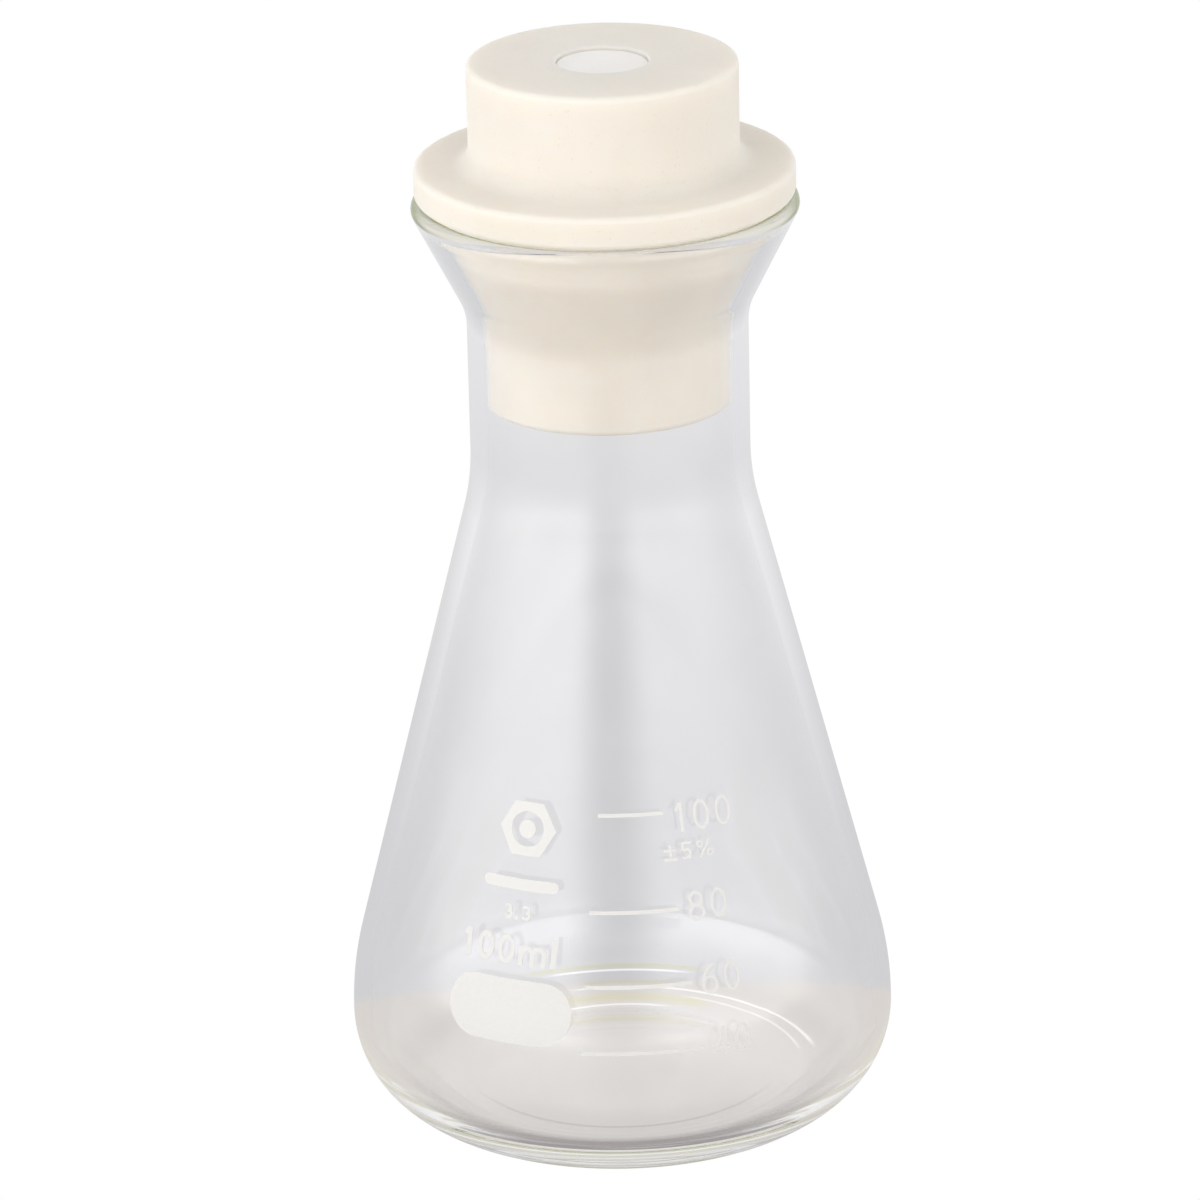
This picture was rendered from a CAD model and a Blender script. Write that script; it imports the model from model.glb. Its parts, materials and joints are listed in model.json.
"""A 100 ml wide-neck conical flask with a flanged silicone sponge stopper, in a plain white studio.

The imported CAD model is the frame. The printing keeps its CAD solids. The glass, the stopper and its
breather core are replaced by finer meshes of the same size. All lengths are metres.
"""

import json
import math

import bpy
from mathutils import Matrix, Vector


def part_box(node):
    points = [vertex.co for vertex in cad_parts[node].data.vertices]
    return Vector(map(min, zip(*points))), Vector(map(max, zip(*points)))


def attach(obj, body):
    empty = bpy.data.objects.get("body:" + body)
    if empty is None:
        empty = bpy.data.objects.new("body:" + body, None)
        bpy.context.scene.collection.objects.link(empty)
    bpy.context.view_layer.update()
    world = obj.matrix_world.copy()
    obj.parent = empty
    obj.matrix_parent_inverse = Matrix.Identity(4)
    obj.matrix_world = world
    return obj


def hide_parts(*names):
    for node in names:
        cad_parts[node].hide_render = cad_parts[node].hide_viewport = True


MM = 0.001

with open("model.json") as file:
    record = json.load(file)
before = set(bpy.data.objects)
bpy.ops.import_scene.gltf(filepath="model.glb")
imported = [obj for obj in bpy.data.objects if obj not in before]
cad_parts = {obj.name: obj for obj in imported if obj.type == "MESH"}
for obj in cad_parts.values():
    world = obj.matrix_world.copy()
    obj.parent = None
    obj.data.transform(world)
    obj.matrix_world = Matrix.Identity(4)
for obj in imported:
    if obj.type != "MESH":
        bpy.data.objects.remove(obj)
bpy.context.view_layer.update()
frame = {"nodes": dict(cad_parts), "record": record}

# ---- Sizes, from the frame ----

FLASK_LOW, FLASK_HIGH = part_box("flask_body")
STOPPER_LOW, STOPPER_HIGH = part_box("stopper_body")
CORE_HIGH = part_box("breather_core")[1]

BODY_R = min(FLASK_HIGH.x, -FLASK_LOW.x, FLASK_HIGH.y, -FLASK_LOW.y)
RIM_Z = FLASK_HIGH.z
GRIP_TOP_Z = STOPPER_HIGH.z
PLUG_BOTTOM_Z = STOPPER_LOW.z
FLANGE_R = STOPPER_HIGH.x
CORE_TOP_Z = CORE_HIGH.z

# The flask's outline, as in the CAD source
NECK_R = 16.2 * MM
RIM_R = 22.25 * MM
WALL = 1.9 * MM
FLOOR_T = 3.6 * MM
INNER_HEEL_R = 8 * MM
CONE_ANGLE = 14.45
FLARE_ANGLE = 26.8
HEEL_R = 11.8 * MM
BELLY_R = 39 * MM
SHOULDER_R = 29.4 * MM
BEND_R = 8.5 * MM
NECK_TOP_Z = 96.65 * MM
BEAD_R = 1.05 * MM
RING_R = 17 * MM
PUNT_H = 1.2 * MM

# The stopper's outline, as in the CAD source
GRIP_R = 15.5 * MM
FLANGE_T = 3.7 * MM
STOPPER_GAP = 0.3 * MM
PLUG_TOP_R = 18.2 * MM
CORE_R = 5.3 * MM

LATHE_STEPS = 448


# ---- Outlines ----

def arc(centre, radius, start, end, steps, skip=0):
    """Points (r, z) on an arc, from start to end in degrees, leaving out the first skip points."""
    turns = [math.radians(start + (end - start) * i / steps) for i in range(skip, steps + 1)]
    return [(centre[0] + radius * math.cos(t), centre[1] + radius * math.sin(t)) for t in turns]


def straight(a, b, steps):
    """Points between a and b, without either end."""
    return [(a[0] + (b[0] - a[0]) * i / steps, a[1] + (b[1] - a[1]) * i / steps) for i in range(1, steps)]


def dome(crown_z, rise, radius):
    """A shallow dome from the axis out to radius."""
    big = (radius * radius + rise * rise) / (2 * rise)
    return arc((0, crown_z - big), big, 90, 90 - math.degrees(math.asin(radius / big)), 12)


def glass_centres():
    """Centres of the belly, the shoulder and the flare's bend."""
    cone = math.radians(CONE_ANGLE)
    belly = (BODY_R - BELLY_R, HEEL_R)
    side_start = (belly[0] + BELLY_R * math.cos(cone), belly[1] + BELLY_R * math.sin(cone))
    side_end_r = NECK_R + SHOULDER_R * (1 - math.cos(cone))
    side_end_z = side_start[1] + (side_start[0] - side_end_r) / math.tan(cone)
    shoulder = (NECK_R + SHOULDER_R, side_end_z + SHOULDER_R * math.sin(cone))
    return belly, shoulder, (NECK_R + BEND_R, NECK_TOP_Z)


def glass_side(depth):
    """The side from the heel to the flare, moved into the glass by depth."""
    belly, shoulder, bend = glass_centres()
    low = arc(belly, BELLY_R - depth, 0, CONE_ANGLE, 8)
    high = arc(shoulder, SHOULDER_R + depth, 180 + CONE_ANGLE, 180, 10)
    flare = arc(bend, BEND_R + depth, 180, 180 - FLARE_ANGLE, 12)
    return low + straight(low[-1], high[0], 24) + high + straight(high[-1], flare[0], 6) + flare


def glass_outline():
    """The whole section of the glass, as an outer and an inner run of points."""
    bend = glass_centres()[2]
    flare = math.radians(FLARE_ANGLE)
    flare_start = (bend[0] - BEND_R * math.cos(flare), bend[1] + BEND_R * math.sin(flare))
    bead_r = RIM_R - BEAD_R
    bead_z = flare_start[1] + ((bead_r - flare_start[0]) * math.cos(flare) + BEAD_R) / math.sin(flare)
    bead_end = 180 - FLARE_ANGLE + math.degrees(math.acos((WALL - BEAD_R) / BEAD_R))
    bead = arc((bead_r, bead_z), BEAD_R, -FLARE_ANGLE, bead_end, 30)
    inner_heel = (BODY_R - WALL - INNER_HEEL_R, FLOOR_T + INNER_HEEL_R)
    outer_side = glass_side(0)
    inner_side = glass_side(WALL)
    outer = (dome(PUNT_H, PUNT_H, RING_R)
             + arc((BODY_R - HEEL_R, HEEL_R), HEEL_R, -90, 0, 48)
             + outer_side[1:]
             + straight(outer_side[-1], bead[0], 8)
             + bead)
    inner = (straight(bead[-1], inner_side[-1], 8)
             + inner_side[::-1]
             + straight((BODY_R - WALL, HEEL_R), (BODY_R - WALL, inner_heel[1]), 3)
             + arc(inner_heel, INNER_HEEL_R, 0, -90, 44, 1)
             + dome(FLOOR_T + PUNT_H, PUNT_H, inner_heel[0])[-2::-1])
    return outer, inner


def flare_line_z(radius, depth):
    """Height at which the flare's line, moved into the glass by depth, reaches radius."""
    bend = glass_centres()[2]
    flare = math.radians(FLARE_ANGLE)
    foot = (bend[0] - (BEND_R + depth) * math.cos(flare), bend[1] + (BEND_R + depth) * math.sin(flare))
    return foot[1] + (radius - foot[0]) / math.tan(flare)


# ---- Meshes ----

def lathe(name, outline, wobble=None):
    """A closed body of revolution about Z. The outline's first and last points lie on the axis."""
    inside = outline[1:-1]
    turns = [2 * math.pi * j / LATHE_STEPS for j in range(LATHE_STEPS)]
    points = [(0.0, 0.0, outline[0][1]), (0.0, 0.0, outline[-1][1])]
    for i, (r, z) in enumerate(inside):
        for t in turns:
            dr = wobble(i + 1, z, t) if wobble else 0.0
            points.append(((r + dr) * math.cos(t), (r + dr) * math.sin(t), z))
    faces = []
    last = 2 + (len(inside) - 1) * LATHE_STEPS
    for j in range(LATHE_STEPS):
        k = (j + 1) % LATHE_STEPS
        faces.append((0, 2 + k, 2 + j))
        faces.append((1, last + j, last + k))
        for i in range(len(inside) - 1):
            a = 2 + i * LATHE_STEPS
            faces.append((a + j, a + k, a + LATHE_STEPS + k, a + LATHE_STEPS + j))
    mesh = bpy.data.meshes.new(name)
    mesh.from_pydata(points, [], faces)
    mesh.polygons.foreach_set("use_smooth", [True] * len(mesh.polygons))
    mesh.update()
    obj = bpy.data.objects.new(name, mesh)
    bpy.context.scene.collection.objects.link(obj)
    return obj


# ---- Materials ----

class Nodes:
    """A short way to build a node tree."""

    def __init__(self, owner, out_kind="ShaderNodeOutputMaterial"):
        owner.use_nodes = True
        self.owner = owner
        self.tree = owner.node_tree
        self.tree.nodes.clear()
        self.out = self.tree.nodes.new(out_kind)
        self.where = self.tree.nodes.new("ShaderNodeTexCoord")

    def put(self, value, socket):
        if isinstance(value, bpy.types.NodeSocket):
            self.tree.links.new(value, socket)
        else:
            socket.default_value = value

    def add(self, kind, values=None, **settings):
        """A node with its settings, and its inputs by name or number."""
        node = self.tree.nodes.new(kind)
        for key, value in settings.items():
            setattr(node, key, value)
        for key, value in (values or {}).items():
            self.put(value, node.inputs[key])
        return node

    def math(self, operation, a, b=0.0):
        return self.add("ShaderNodeMath", {0: a, 1: b}, operation=operation).outputs[0]

    def ease(self, value, low, high, to_low=0.0, to_high=1.0):
        """Eases from to_low to to_high as value goes from low to high."""
        return self.add("ShaderNodeMapRange", {"Value": value, "From Min": low, "From Max": high,
                                               "To Min": to_low, "To Max": to_high},
                        interpolation_type="SMOOTHSTEP").outputs[0]

    def noise(self, scale, detail=2.0, roughness=0.5):
        return self.add("ShaderNodeTexNoise", {"Vector": self.where.outputs["Object"], "Scale": scale,
                                               "Detail": detail, "Roughness": roughness}).outputs["Fac"]

    def blend(self, factor, a, b):
        """A colour between a and b."""
        return self.add("ShaderNodeMix", {0: factor, 6: a, 7: b}, data_type="RGBA").outputs[2]

    def bump(self, height, strength, distance, spread=0.1):
        return self.add("ShaderNodeBump", {"Height": height, "Strength": strength, "Distance": distance,
                                           "Filter Width": spread}).outputs["Normal"]

    def mix(self, factor, a, b):
        """A number between a and b."""
        return self.add("ShaderNodeMix", {0: factor, 2: a, 3: b}).outputs[0]

    def grey(self, value):
        return self.add("ShaderNodeCombineColor", {0: value, 1: value, 2: value}).outputs[0]

    def soft_share(self):
        """SOFT_SHARE for light that has met a soft surface, and 1 for light seen in or through the glass."""
        met_soft = self.math("GREATER_THAN", self.ray("Diffuse Depth"), 0.5)
        return self.mix(met_soft, 1.0, SOFT_SHARE)

    def choose(self, factor, a, b):
        """Shader a where factor is 0, and shader b where it is 1."""
        return self.add("ShaderNodeMixShader", {0: factor, 1: a, 2: b}).outputs[0]

    def ray(self, kind):
        return self.add("ShaderNodeLightPath").outputs[kind]

    def surface(self, shader):
        self.put(shader, self.out.inputs["Surface"])
        return self.owner


def rgba(r, g, b):
    return (r, g, b, 1.0)


GLASS_IOR = 1.474

# Colour of the glass in depth, which shows only where light runs far inside it
GLASS_TINT = rgba(0.77, 0.775, 0.75)
GLASS_DENSITY = 5.0

# A path that has bounced more often than this ends at the glass in a plain colour that stands
# in for its depth, paler in the heel than in the rim
DEEP_BOUNCES = 12
HEEL_DEEP = rgba(0.80, 0.78, 0.70)
RIM_DEEP = rgba(0.30, 0.34, 0.17)

# A green that grows from the first to the second edge-on value, full in the rim's bead and
# FLARE_SHARE of it in the flare
RIM_TINT = rgba(0.22, 0.28, 0.09)
RIM_EDGE_ON = (0.5, 0.75)
FLARE_SHARE = 0.15
FLARE_RISE = 4 * MM
BEAD_MID_Z = RIM_Z - BEAD_R
BEAD_RISE = 0.2 * MM

# Faint smears on the glass
SMEAR = rgba(0.975, 0.975, 0.98)
SMEAR_SCALE = 70.0


def glass_material():
    """Clear glass with faint smears, and a little green near the rim."""
    n = Nodes(bpy.data.materials.new("borosilicate_glass"))
    z = n.add("ShaderNodeSeparateXYZ", {0: n.where.outputs["Object"]}).outputs[2]
    clear = n.blend(n.ease(n.noise(SMEAR_SCALE, 3.0, 0.6), 0.35, 0.7), rgba(1, 1, 1), SMEAR)
    facing = n.add("ShaderNodeLayerWeight", {"Blend": 0.5}).outputs["Facing"]
    in_flare = n.ease(z, NECK_TOP_Z, NECK_TOP_Z + FLARE_RISE, 0.0, FLARE_SHARE)
    in_bead = n.ease(z, BEAD_MID_Z - BEAD_RISE, BEAD_MID_Z + BEAD_RISE, 0.0, 1 - FLARE_SHARE)
    green = n.math("ADD", in_flare, in_bead)
    edge_on = n.ease(facing, *RIM_EDGE_ON)
    colour = n.blend(n.math("MULTIPLY", green, edge_on), clear, RIM_TINT)
    glass = n.add("ShaderNodeBsdfPrincipled", {"Base Color": colour, "Transmission Weight": 1.0,
                                               "Roughness": 0.0, "IOR": GLASS_IOR})
    tint = n.add("ShaderNodeVolumeAbsorption", {"Color": GLASS_TINT, "Density": GLASS_DENSITY})
    n.put(tint.outputs[0], n.out.inputs["Volume"])
    depth_colour = n.blend(n.ease(z, NECK_TOP_Z, RIM_Z), HEEL_DEEP, RIM_DEEP)
    deep = n.add("ShaderNodeEmission", {"Color": depth_colour})
    far_in = n.math("GREATER_THAN", n.ray("Ray Depth"), DEEP_BOUNCES)
    material = n.surface(n.choose(far_in, glass.outputs[0], deep.outputs[0]))
    material.cycles.emission_sampling = "NONE"
    return material


SPONGE_IOR = 1.41
SPONGE_SOFTNESS = 0.85
SPONGE_SPREAD = (1.0, 0.85, 0.7)
PIT_DEPTH = 0.1 * MM

# Of the stopper and of its core: colour, colour of the pits, cells per metre, and how deep light goes
CREAM = (rgba(0.80, 0.756, 0.68), rgba(0.70, 0.645, 0.55), 1500.0, 3 * MM)
FOAM = (rgba(0.90, 0.875, 0.84), rgba(0.78, 0.74, 0.70), 1100.0, 0.3 * MM)


def sponge_material(name, colour, pit_colour, cell_scale, depth):
    """Silicone sponge: a soft body with fine cells in its skin, some of them open as pits."""
    n = Nodes(bpy.data.materials.new(name))
    cells = n.add("ShaderNodeTexVoronoi", {"Vector": n.where.outputs["Object"], "Scale": cell_scale})
    grain = n.noise(2.2 * cell_scale, 3.0, 0.6)
    cloud = n.noise(95.0, 3.0, 0.5)
    open_cells = n.ease(cells.outputs["Distance"], 0.10, 0.28, 1.0, 0.0)
    pits = n.math("MULTIPLY", open_cells, n.ease(grain, 0.45, 0.62))
    tone = n.blend(n.math("MULTIPLY", pits, 0.55), colour, pit_colour)
    worn = n.blend(n.ease(cloud, 0.3, 0.7, 0.0, 0.22), tone, pit_colour)
    height = n.math("SUBTRACT", n.math("MULTIPLY", grain, 0.5), pits)
    skin = n.add("ShaderNodeBsdfPrincipled",
                 {"Base Color": worn, "Roughness": n.ease(grain, 0.2, 0.8, 0.55, 0.8),
                  "IOR": SPONGE_IOR, "Subsurface Weight": SPONGE_SOFTNESS,
                  "Subsurface Radius": SPONGE_SPREAD, "Subsurface Scale": depth,
                  "Normal": n.bump(height, 0.3, PIT_DEPTH)})
    return n.surface(skin.outputs[0])


ENAMEL_DARK = rgba(0.82, 0.81, 0.78)
ENAMEL_LIGHT = rgba(0.88, 0.87, 0.84)
ENAMEL_ALPHA = 0.9
ENAMEL_ROUGHNESS = 0.45
ENAMEL_GRAIN = 2600.0


def enamel_material():
    """Fired white enamel with a fine grain, thin enough to let a little light through."""
    n = Nodes(bpy.data.materials.new("fired_enamel"))
    speck = n.noise(ENAMEL_GRAIN, 3.0)
    tone = n.blend(speck, ENAMEL_DARK, ENAMEL_LIGHT)
    enamel = n.add("ShaderNodeBsdfPrincipled",
                   {"Base Color": tone, "Roughness": ENAMEL_ROUGHNESS, "Alpha": ENAMEL_ALPHA,
                    "Normal": n.bump(speck, 0.2, 0.02 * MM)})
    return n.surface(enamel.outputs[0])


# ---- Pieces ----

def add_piece(obj, material, body, node):
    """Gives a mesh its material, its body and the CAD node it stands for."""
    obj.data.materials.append(material)
    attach(obj, body)
    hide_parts(node)
    return obj


def build_glass():
    """The flask, with a slight unevenness on the inside of its wall."""
    outer, inner = glass_outline()
    first_inner = len(outer)

    def drawn(i, z, t):
        """The blown wall's unevenness, on the inside of the body only."""
        if i < first_inner or z < 6 * MM:
            return 0.0
        fade = max(0.0, 1 - z / (80 * MM))
        return fade * MM * (0.07 * math.sin(t + 0.6) + 0.04 * math.sin(2 * t + z / (9 * MM)))

    return add_piece(lathe("flask_glass", outer + inner, drawn), glass_material(),
                     "flask", "flask_body")


def build_stopper():
    """The stopper: plug, flange and grip, with a shallow seat for the core."""
    edge = 0.7 * MM
    fillet = 2.2 * MM
    plug_edge = 0.9 * MM
    recess_edge = 0.25 * MM
    flange_z = RIM_Z + STOPPER_GAP
    flange_top_z = flange_z + FLANGE_T
    depth = WALL + STOPPER_GAP
    plug_r = NECK_R - depth
    bend = [p for p in glass_side(depth)[-13:] if p[0] < PLUG_TOP_R]
    corner = (PLUG_TOP_R, flare_line_z(PLUG_TOP_R, depth))
    low_corner = arc((plug_r - plug_edge, PLUG_BOTTOM_Z + plug_edge), plug_edge, -90, 0, 8)
    flange_foot = arc((FLANGE_R - edge, flange_z + edge), edge, -90, 0, 8)
    flange_head = arc((FLANGE_R - edge, flange_top_z - edge), edge, 0, 90, 8)
    grip_foot = arc((GRIP_R + fillet, flange_top_z + fillet), fillet, 270, 180, 8)
    grip_head = arc((GRIP_R - edge, GRIP_TOP_Z - edge), edge, 0, 90, 8)
    lip = arc((CORE_R + recess_edge, GRIP_TOP_Z - recess_edge), recess_edge, 90, 180, 6)
    seat_z = CORE_TOP_Z - 0.6 * MM
    outline = ([(0, PLUG_BOTTOM_Z)]
               + straight((0, PLUG_BOTTOM_Z), low_corner[0], 12)
               + low_corner + straight(low_corner[-1], bend[0], 10) + bend
               + straight(bend[-1], corner, 4) + [corner]
               + straight(corner, (PLUG_TOP_R, flange_z), 10) + [(PLUG_TOP_R, flange_z)]
               + straight((PLUG_TOP_R, flange_z), flange_foot[0], 5)
               + flange_foot + straight(flange_foot[-1], flange_head[0], 3)
               + flange_head + straight(flange_head[-1], grip_foot[0], 4)
               + grip_foot + straight(grip_foot[-1], grip_head[0], 10)
               + grip_head + straight(grip_head[-1], lip[0], 8)
               + lip + straight(lip[-1], (CORE_R, seat_z), 3) + [(CORE_R, seat_z), (0, seat_z)])
    cream = sponge_material("silicone_sponge", *CREAM)
    return add_piece(lathe("stopper_sponge", outline), cream, "stopper", "stopper_body")


def build_core():
    """The top of the breather core, which is all of it that shows."""
    edge = 0.3 * MM
    bottom = CORE_TOP_Z - 0.5 * MM
    rim = CORE_R - 0.02 * MM
    head = arc((rim - edge, CORE_TOP_Z - edge), edge, 0, 90, 6)
    crown = (0, CORE_TOP_Z)
    outline = [(0, bottom), (rim, bottom)] + head + straight(head[-1], crown, 12) + [crown]
    foam = sponge_material("breather_foam", *FOAM)
    return add_piece(lathe("breather_disc", outline), foam, "stopper", "breather_core")


def finish_printing():
    """Gives the printing's CAD solids their enamel."""
    enamel = enamel_material()
    for entry in frame["record"]["subparts"]:
        if entry["material_slot"] == "enamel":
            node = frame["nodes"][entry["node"]]
            node.data.materials.clear()
            node.data.materials.append(enamel)


# ---- Studio ----

CAMERA_PLACE = Vector((0, -769.5 * MM, 355.2 * MM))
CAMERA_PITCH = 20.83
CAMERA_YAW = -0.12
CAMERA_ROLL = -1.3
CAMERA_LENS = 211.7
FLOOR_SIZE = 6.0

# Light is carried far along inside the glass. DEEP_BOUNCES ends those paths before this limit
LIGHT_BOUNCES = 200

# Brightness of the light tent's parts. It stands still in the world, with its dim gap in front.
# Soft surfaces get only SOFT_SHARE of its light
TENT_GAP = 0.52
TENT_LEFT = 3.1
TENT_RIGHT = 2.4
TENT_GAP_TURN = 3
TENT_BACK = 1.0
TENT_ROOF = 0.93
TENT_HEM = 0.85
TENT_CLOTH = rgba(0.99, 0.99, 1)
SOFT_SHARE = 0.77

# The paper is warm near the flask and cool from here on behind it
COOL_FROM = 24 * MM
COOL_FULL = 30 * MM
WARM_PAPER = rgba(0.70, 0.665, 0.635)
COOL_PAPER = rgba(0.64, 0.64, 0.66)
FAR_PAPER = rgba(0.73, 0.73, 0.745)

# Share of the tent's extra light that the paper far from the flask returns, and how much behind
FAR_SHARE = 0.75
FAR_BACK = 0.22

# The flask's own shadow, painted on the paper and seen only through the glass: a dark ring under
# the heel's overhang, a soft one inside it, and a fine line where the flask stands
SHADE_R = 27 * MM
SHADE_W = 6.5 * MM
SHADE_FRONT = 0.75
SHADE_BACK = 0.1
SHADE_PAPER = rgba(0.16, 0.14, 0.16)
STAND_R = 17.7 * MM
STAND_LINE_W = 0.45 * MM
STAND_LINE = 0.3
STAND_SOFT = 0.16

# Lines of light and olive bands, as a heel throws them on the paper behind it. They are painted,
# and seen only through the glass: radius and width in millimetres, first and last azimuth in
# degrees from the back, and strength
HEEL_LINES = [
    (31.0, 0.6, -12, 10, 0.4),
    (24.0, 0.6, -10, 70, 0.34),
    (17.8, 0.5, -40, 12, 0.35),
    (21.6, 0.4, 25, 72, 0.22),
]
HEEL_BANDS = [
    (32.6, 1.3, -18, 14, 0.9),
    (26.2, 1.4, -8, 8, 0.7),
    (20.2, 2.4, -38, 26, 1.0),
]
HEEL_FADE = 8
OLIVE = rgba(0.97, 0.94, 0.66)


def build_camera():
    """The camera, in front and looking down."""
    pitch, yaw, roll = (math.radians(a) for a in (CAMERA_PITCH, CAMERA_YAW, CAMERA_ROLL))
    ahead = Vector((math.sin(yaw) * math.cos(pitch), math.cos(yaw) * math.cos(pitch), -math.sin(pitch)))
    right = ahead.cross(Vector((0, 0, 1))).normalized()
    up = right.cross(ahead)
    x_axis = right * math.cos(roll) + up * math.sin(roll)
    y_axis = up * math.cos(roll) - right * math.sin(roll)
    turn = Matrix((x_axis, y_axis, -ahead)).transposed().to_4x4()
    data = bpy.data.cameras.new("camera")
    data.lens = CAMERA_LENS
    data.sensor_width = 36
    data.clip_start = 0.01
    camera = bpy.data.objects.new("camera", data)
    camera.matrix_world = Matrix.Translation(CAMERA_PLACE) @ turn
    bpy.context.scene.collection.objects.link(camera)
    bpy.context.scene.camera = camera


def tent_cloth(n, x, y, back):
    """The cloth's brightness towards x, y: a dim gap in front, bright sides and an even back."""
    turn = n.math("ADD", n.math("ARCTAN2", x, n.math("MULTIPLY", y, -1.0)), math.radians(TENT_GAP_TURN))
    side = n.ease(turn, math.radians(-20), math.radians(20), TENT_LEFT, TENT_RIGHT)
    off_gap = n.ease(n.math("ABSOLUTE", turn), math.radians(2), math.radians(28))
    behind = n.ease(n.math("ABSOLUTE", turn), math.radians(62), math.radians(116))
    front = n.mix(off_gap, TENT_GAP, side)
    return n.mix(behind, front, back)


def ring(n, reach, radius, width):
    """1 on a circle about the flask's axis, fading to 0 at width on either side."""
    off = n.math("ABSOLUTE", n.math("SUBTRACT", reach, radius))
    return n.ease(off, 0.0, width, 1.0, 0.0)


def heel_arcs(n, reach, turn, rows):
    """The summed strength of arcs about the axis, at a distance and an azimuth from the back."""
    total = 0.0
    for radius, width, first, last, strength in rows:
        rises = n.ease(turn, math.radians(first - HEEL_FADE), math.radians(first), 0.0, strength)
        falls = n.ease(turn, math.radians(last), math.radians(last + HEEL_FADE), 1.0, 0.0)
        span = n.math("MULTIPLY", rises, falls)
        line = n.math("MULTIPLY", ring(n, reach, radius * MM, width * MM), span)
        total = n.math("ADD", total, line)
    return total


def paper_tone(n):
    """The paper's colour as the glass sees it: warm and cool sheets, painted shadow and light."""
    place = n.where.outputs["Object"]
    split = n.add("ShaderNodeSeparateXYZ", {0: place})
    x, y = split.outputs[0], split.outputs[1]
    reach = n.add("ShaderNodeVectorMath", {0: place}, operation="LENGTH").outputs["Value"]
    turn = n.math("ARCTAN2", x, y)
    cool = n.blend(n.ease(reach, 0.05, 0.3), COOL_PAPER, FAR_PAPER)
    paper = n.blend(n.ease(y, COOL_FROM, COOL_FULL), WARM_PAPER, cool)
    front = n.ease(n.math("ABSOLUTE", turn), math.radians(85), math.radians(155))
    shade = n.mix(front, SHADE_BACK, SHADE_FRONT)
    under_heel = n.math("MULTIPLY", ring(n, reach, SHADE_R, SHADE_W), shade)
    stand = n.math("ADD", n.math("MULTIPLY", ring(n, reach, STAND_R, STAND_LINE_W), STAND_LINE),
                   n.ease(reach, STAND_R - 9 * MM, STAND_R + 1 * MM, 0.0, STAND_SOFT))
    near = n.ease(reach, 24 * MM, 30 * MM, 1.0, 0.0)
    at_stand = n.math("MULTIPLY", n.math("MULTIPLY", stand, front), near)
    shaded = n.blend(n.math("MAXIMUM", under_heel, at_stand), paper, SHADE_PAPER)
    tinted = n.add("ShaderNodeMix", {0: heel_arcs(n, reach, turn, HEEL_BANDS), 6: shaded, 7: OLIVE},
                   data_type="RGBA", blend_type="MULTIPLY").outputs[2]
    beyond = n.math("SUBTRACT", tent_cloth(n, x, y, TENT_GAP + FAR_BACK), TENT_GAP)
    lit = n.math("MULTIPLY", beyond, n.ease(reach, 0.08, 0.6, 0.0, FAR_SHARE))
    light = n.grey(n.math("ADD", lit, heel_arcs(n, reach, turn, HEEL_LINES)))
    return n.add("ShaderNodeMix", {0: 1.0, 6: tinted, 7: light},
                 data_type="RGBA", blend_type="ADD").outputs[2]


def build_floor():
    """A pale floor: plain white to the camera, and painted paper in the tent's light to the glass."""
    half = FLOOR_SIZE / 2
    mesh = bpy.data.meshes.new("floor")
    corners = [(-half, -half), (half, -half), (half, half), (-half, half)]
    mesh.from_pydata([(x, y, -0.02 * MM) for x, y in corners], [], [(0, 1, 2, 3)])
    floor = bpy.data.objects.new("floor", mesh)
    bpy.context.scene.collection.objects.link(floor)
    n = Nodes(bpy.data.materials.new("white_paper"))
    white = n.add("ShaderNodeEmission", {"Color": rgba(1, 1, 1), "Strength": 1.0})
    paper = n.add("ShaderNodeEmission", {"Color": paper_tone(n), "Strength": n.soft_share()})
    material = n.surface(n.choose(n.ray("Is Camera Ray"), paper.outputs[0], white.outputs[0]))
    material.cycles.emission_sampling = "NONE"
    mesh.materials.append(material)


def build_world():
    """A light tent: bright cloth left and right, and a dim gap at the front. The camera sees white."""
    world = bpy.data.worlds.new("light_tent")
    bpy.context.scene.world = world
    world.cycles.sampling_method = "NONE"
    n = Nodes(world, "ShaderNodeOutputWorld")
    split = n.add("ShaderNodeSeparateXYZ", {0: n.where.outputs["Generated"]})
    x, y, z = (split.outputs[i] for i in range(3))
    hem = n.math("MULTIPLY", tent_cloth(n, x, y, TENT_BACK), n.ease(z, 0.0, 0.14, TENT_HEM, 1.0))
    glow = n.mix(n.ease(z, 0.3, 0.9), hem, TENT_ROOF)
    white = n.add("ShaderNodeBackground", {"Color": rgba(1, 1, 1)})
    tent = n.add("ShaderNodeBackground", {"Color": TENT_CLOTH,
                                          "Strength": n.math("MULTIPLY", glow, n.soft_share())})
    n.surface(n.choose(n.ray("Is Camera Ray"), tent.outputs[0], white.outputs[0]))


build_camera()
build_world()
build_floor()
build_glass()
build_stopper()
build_core()
finish_printing()

scene = bpy.context.scene
scene.view_settings.view_transform = "Standard"
scene.cycles.use_denoising = True
for kind in ("max_bounces", "transmission_bounces", "glossy_bounces"):
    setattr(scene.cycles, kind, LIGHT_BOUNCES)
scene.cycles.blur_glossy = 0
